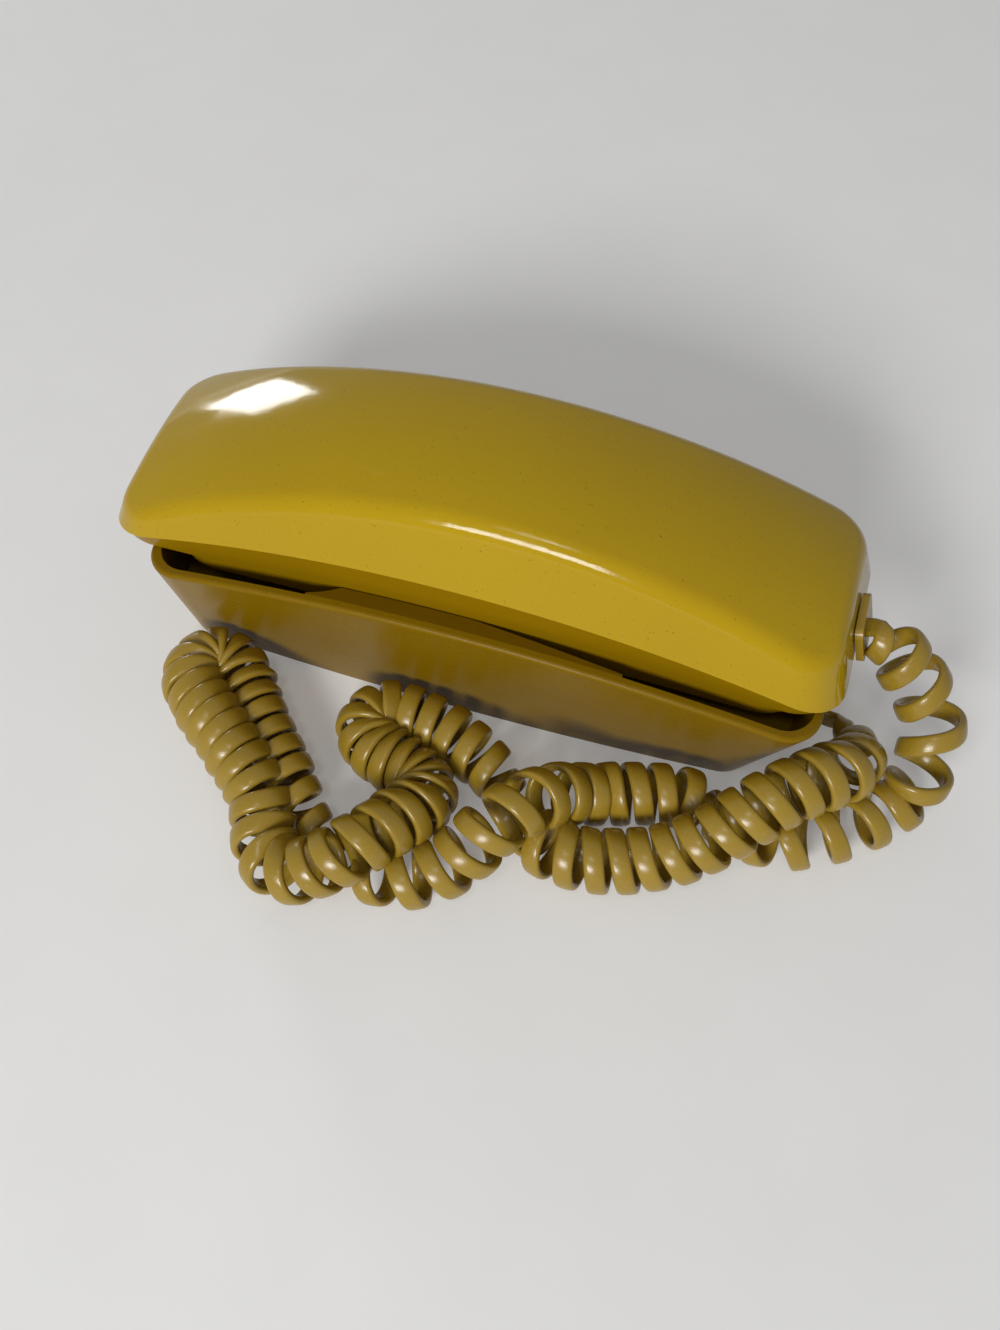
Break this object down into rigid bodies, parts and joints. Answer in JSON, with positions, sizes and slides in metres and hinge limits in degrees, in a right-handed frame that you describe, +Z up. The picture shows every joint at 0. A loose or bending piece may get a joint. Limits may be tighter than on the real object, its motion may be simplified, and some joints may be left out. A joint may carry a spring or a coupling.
{
  "type": "slimline wall telephone",
  "caption": "Slim wall telephone lying on its back plate, push button handset resting face down in a flared base, joined to it by a long coiled cord.",
  "frame": {"origin": "middle of the handset's length and the base's width, on the surface that the base's rim stands on", "axes": "+X from the ear end to the mouth end, +Z up out of the wall side, -Y the side seen in the picture"},
  "size_m": [0.2595, 0.1577, 0.088],
  "materials": {
    "mustard_shell": "glossy moulded ABS, finely scratched",
    "cord_jacket": "glossy PVC cord jacket, moulded grommets alike",
    "key_plastic": "moulded push button caps",
    "cream_plastic": "moulded inner parts",
    "black_plastic": "moulded phenolic",
    "spring_steel": "stamped spring steel",
    "plated_steel": "zinc plated, stamped",
    "circuit_board": "phenolic paper board",
    "lamp_lens": "frosted lamp envelope",
    "clear_window": "clear polycarbonate",
    "paper_card": "plain paper card",
    "winding": "taped copper winding",
    "capacitor_foil": "drawn can",
    "gong_brass": "lacquered brass"
  },
  "bodies": {
    "base": {"base_housing": "mustard_shell", "wall_plate": "plated_steel", "wall_plate_screws": "plated_steel", "wall_plug": "cream_plastic", "hook_pin": "plated_steel", "hook_bracket": "plated_steel", "hook_contacts": "black_plastic", "network_board": "circuit_board", "induction_coil": "winding", "capacitor": "capacitor_foil", "ringer_frame": "plated_steel", "ringer_coil": "winding", "ringer_gong": "gong_brass", "clapper_pin": "plated_steel", "volume_wheel_stud": "plated_steel", "base_cord_grommet": "cord_jacket", "cord_riser": "cord_jacket", "cord_back_run": "cord_jacket", "cord_ear_loop": "cord_jacket", "cord_middle_loop": "cord_jacket", "cord_front_run": "cord_jacket"},
    "handset": {"handset_back_shell": "mustard_shell", "handset_front_shell": "mustard_shell", "receiver_unit": "black_plastic", "receiver_clip": "spring_steel", "transmitter_unit": "black_plastic", "transmitter_cup": "cream_plastic", "keypad_frame": "cream_plastic", "keypad_board": "circuit_board", "keypad_lamp": "lamp_lens", "handset_circuit_board": "circuit_board", "number_window": "clear_window", "number_card": "paper_card", "handset_screws": "plated_steel", "handset_cord_grommet": "cord_jacket"},
    "key_1": {"key_1": "key_plastic"},
    "key_2": {"key_2": "key_plastic"},
    "key_3": {"key_3": "key_plastic"},
    "key_4": {"key_4": "key_plastic"},
    "key_5": {"key_5": "key_plastic"},
    "key_6": {"key_6": "key_plastic"},
    "key_7": {"key_7": "key_plastic"},
    "key_8": {"key_8": "key_plastic"},
    "key_9": {"key_9": "key_plastic"},
    "key_star": {"key_star": "key_plastic"},
    "key_0": {"key_0": "key_plastic"},
    "key_pound": {"key_pound": "key_plastic"},
    "recall_button": {"recall_button": "cream_plastic"},
    "hook_plunger": {"hook_plunger": "cream_plastic"},
    "hook_lever": {"hook_lever": "cream_plastic"},
    "ringer_clapper": {"ringer_clapper": "gong_brass"},
    "volume_wheel": {"volume_wheel": "black_plastic"}
  },
  "joints": [
    {"name": "handset_lift", "type": "slide", "parent": "base", "child": "handset", "axis": [0, 0, 1], "range_m": [0, 0.06], "deforming": ["cord_riser"]},
    {"name": "key_1_press", "type": "slide", "parent": "handset", "child": "key_1", "axis": [0, 0, 1], "range_m": [0, 0.0016], "stiffness_N_per_m": 400, "springref_m": -0.001},
    {"name": "key_2_press", "type": "slide", "parent": "handset", "child": "key_2", "axis": [0, 0, 1], "range_m": [0, 0.0016], "stiffness_N_per_m": 400, "springref_m": -0.001},
    {"name": "key_3_press", "type": "slide", "parent": "handset", "child": "key_3", "axis": [0, 0, 1], "range_m": [0, 0.0016], "stiffness_N_per_m": 400, "springref_m": -0.001},
    {"name": "key_4_press", "type": "slide", "parent": "handset", "child": "key_4", "axis": [0, 0, 1], "range_m": [0, 0.0016], "stiffness_N_per_m": 400, "springref_m": -0.001},
    {"name": "key_5_press", "type": "slide", "parent": "handset", "child": "key_5", "axis": [0, 0, 1], "range_m": [0, 0.0016], "stiffness_N_per_m": 400, "springref_m": -0.001},
    {"name": "key_6_press", "type": "slide", "parent": "handset", "child": "key_6", "axis": [0, 0, 1], "range_m": [0, 0.0016], "stiffness_N_per_m": 400, "springref_m": -0.001},
    {"name": "key_7_press", "type": "slide", "parent": "handset", "child": "key_7", "axis": [0, 0, 1], "range_m": [0, 0.0016], "stiffness_N_per_m": 400, "springref_m": -0.001},
    {"name": "key_8_press", "type": "slide", "parent": "handset", "child": "key_8", "axis": [0, 0, 1], "range_m": [0, 0.0016], "stiffness_N_per_m": 400, "springref_m": -0.001},
    {"name": "key_9_press", "type": "slide", "parent": "handset", "child": "key_9", "axis": [0, 0, 1], "range_m": [0, 0.0016], "stiffness_N_per_m": 400, "springref_m": -0.001},
    {"name": "key_star_press", "type": "slide", "parent": "handset", "child": "key_star", "axis": [0, 0, 1], "range_m": [0, 0.0016], "stiffness_N_per_m": 400, "springref_m": -0.001},
    {"name": "key_0_press", "type": "slide", "parent": "handset", "child": "key_0", "axis": [0, 0, 1], "range_m": [0, 0.0016], "stiffness_N_per_m": 400, "springref_m": -0.001},
    {"name": "key_pound_press", "type": "slide", "parent": "handset", "child": "key_pound", "axis": [0, 0, 1], "range_m": [0, 0.0016], "stiffness_N_per_m": 400, "springref_m": -0.001},
    {"name": "recall_button_press", "type": "slide", "parent": "handset", "child": "recall_button", "axis": [0, 0, 1], "range_m": [0, 0.0016], "stiffness_N_per_m": 400, "springref_m": -0.001},
    {"name": "hook_plunger_slide", "type": "slide", "parent": "base", "child": "hook_plunger", "axis": [0, 0, 1], "range_m": [0, 0.004]},
    {"name": "hook_lever_hinge", "type": "hinge", "parent": "base", "child": "hook_lever", "pos_m": [0.0195, 0, 0.027], "axis": [0, -1, 0], "range_deg": [0, 17.5]},
    {"name": "ringer_clapper_swing", "type": "hinge", "parent": "base", "child": "ringer_clapper", "pos_m": [0.026, -0.0155, 0.0128], "axis": [0, 0, 1], "range_deg": [-3.5, 3.5], "stiffness_Nm_per_rad": 0.004},
    {"name": "volume_wheel_turn", "type": "hinge", "parent": "base", "child": "volume_wheel", "pos_m": [0.028, 0.02574, 0.0158], "axis": [0, 0, 1], "range_deg": [0, 90]}
  ],
  "couplings": [
    {"joint": "hook_plunger_slide", "follows": "handset_lift", "ratio": 0.066667},
    {"joint": "hook_lever_hinge", "follows": "handset_lift", "rad_per_m": 5.0833}
  ]
}
